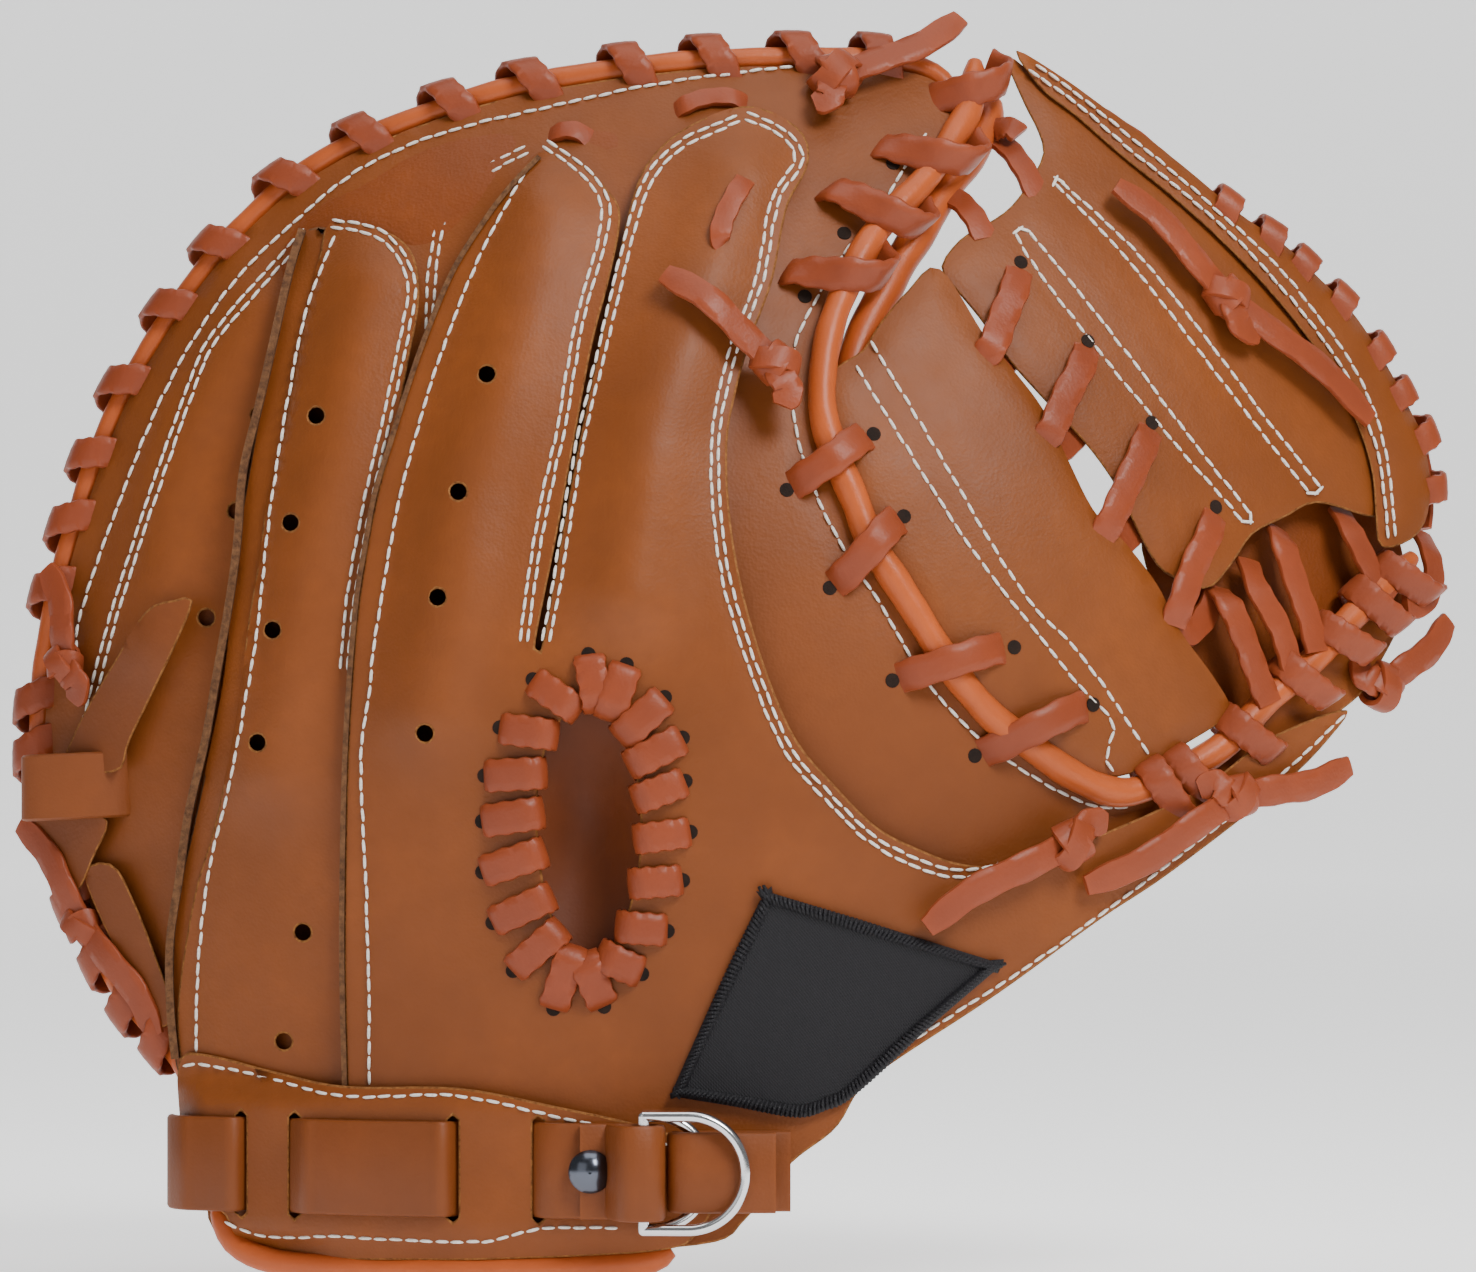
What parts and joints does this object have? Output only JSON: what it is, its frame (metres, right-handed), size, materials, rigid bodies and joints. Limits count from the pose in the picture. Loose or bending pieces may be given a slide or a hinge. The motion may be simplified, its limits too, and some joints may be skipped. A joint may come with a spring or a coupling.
{
  "type": "baseball catcher's mitt",
  "caption": "Left-hand catcher's mitt of oiled tan leather, padded round pocket, laced web, finger hole and buckled wrist strap; closes along its fold.",
  "frame": {"origin": "on the hand lining at the middle of the wrist opening, where the hand goes in", "axes": "+Z from the wrist to the fingertips, +X from the little finger to the thumb, +Y from the back of the hand to the palm and pocket; the mitt stands as worn on a raised left hand"},
  "size_m": [0.2942, 0.1057, 0.2569],
  "materials": {
    "shell_leather": "oiled tan leather, satin",
    "palm_leather": "oiled tan leather, satin",
    "strap_leather": "plain tan strap leather",
    "lining": "smooth brown lining",
    "rawhide": "red-brown lace, slightly glossy",
    "piping": "orange rolled piping",
    "padding": "wool felt",
    "patch": "black satin weave",
    "ring_metal": "polished nickel",
    "rivet_metal": "dark nickel"
  },
  "bodies": {
    "finger_side": {"back_rim_panel": "shell_leather", "little_finger_panel": "shell_leather", "ring_finger_panel": "shell_leather", "hand_back_panel": "shell_leather", "crotch_panel": "shell_leather", "wrist_band": "shell_leather", "index_lining": "lining", "rim_roll": "piping", "rim_lace": "rawhide", "crotch_roll": "piping", "crotch_lace": "rawhide", "wrist_roll": "piping", "finger_hole_lace": "rawhide", "finger_pull_laces": "rawhide", "palm_shell": "palm_leather", "palm_pad": "padding", "palm_lining": "lining", "heel_pad": "padding", "little_finger_loop": "strap_leather", "wrist_strap": "strap_leather", "strap_rivet": "rivet_metal", "strap_tail": "strap_leather", "web_inner_panel": "shell_leather", "web_main_panel": "shell_leather", "web_edge_panel": "shell_leather", "web_palm_panel": "shell_leather", "web_cross_lace": "rawhide", "web_edge_lace": "rawhide", "web_index_lace": "rawhide", "index_tip_knot": "rawhide", "index_knot": "rawhide", "little_finger_knot": "rawhide", "heel_knot": "rawhide", "web_knot": "rawhide"},
    "thumb_side": {"thumb_back_panel": "shell_leather", "thumb_crotch_panel": "shell_leather", "thumb_palm_shell": "palm_leather", "thumb_pad": "padding", "thumb_lining": "lining", "thumb_roll": "piping", "thumb_lace": "rawhide", "name_patch": "patch", "thumb_web_inner_panel": "shell_leather", "thumb_web_main_panel": "shell_leather", "thumb_web_edge_panel": "shell_leather", "thumb_web_palm_panel": "shell_leather", "thumb_web_lace": "rawhide", "thumb_web_edge_lace": "rawhide", "thumb_knot": "rawhide", "thumb_edge_knot": "rawhide", "thumb_tip_knot": "rawhide"},
    "inner_ring_body": {"inner_ring": "ring_metal"},
    "outer_ring_body": {"outer_ring": "ring_metal"}
  },
  "joints": [
    {"name": "mitt_fold", "type": "hinge", "parent": "finger_side", "child": "thumb_side", "pos_m": [0.048, -0.018, 0], "axis": [0.493, 0.1122, 0.8628], "range_deg": [0, 24], "stiffness_Nm_per_rad": 5},
    {"name": "inner_ring_swing", "type": "hinge", "parent": "finger_side", "child": "inner_ring_body", "pos_m": [0.035, -0.04645, 0.013], "axis": [0, 0, 1], "range_deg": [0, 6]},
    {"name": "outer_ring_swing", "type": "hinge", "parent": "finger_side", "child": "outer_ring_body", "pos_m": [0.035, -0.05135, 0.013], "axis": [0, 0, 1], "range_deg": [-40, 0]}
  ]
}
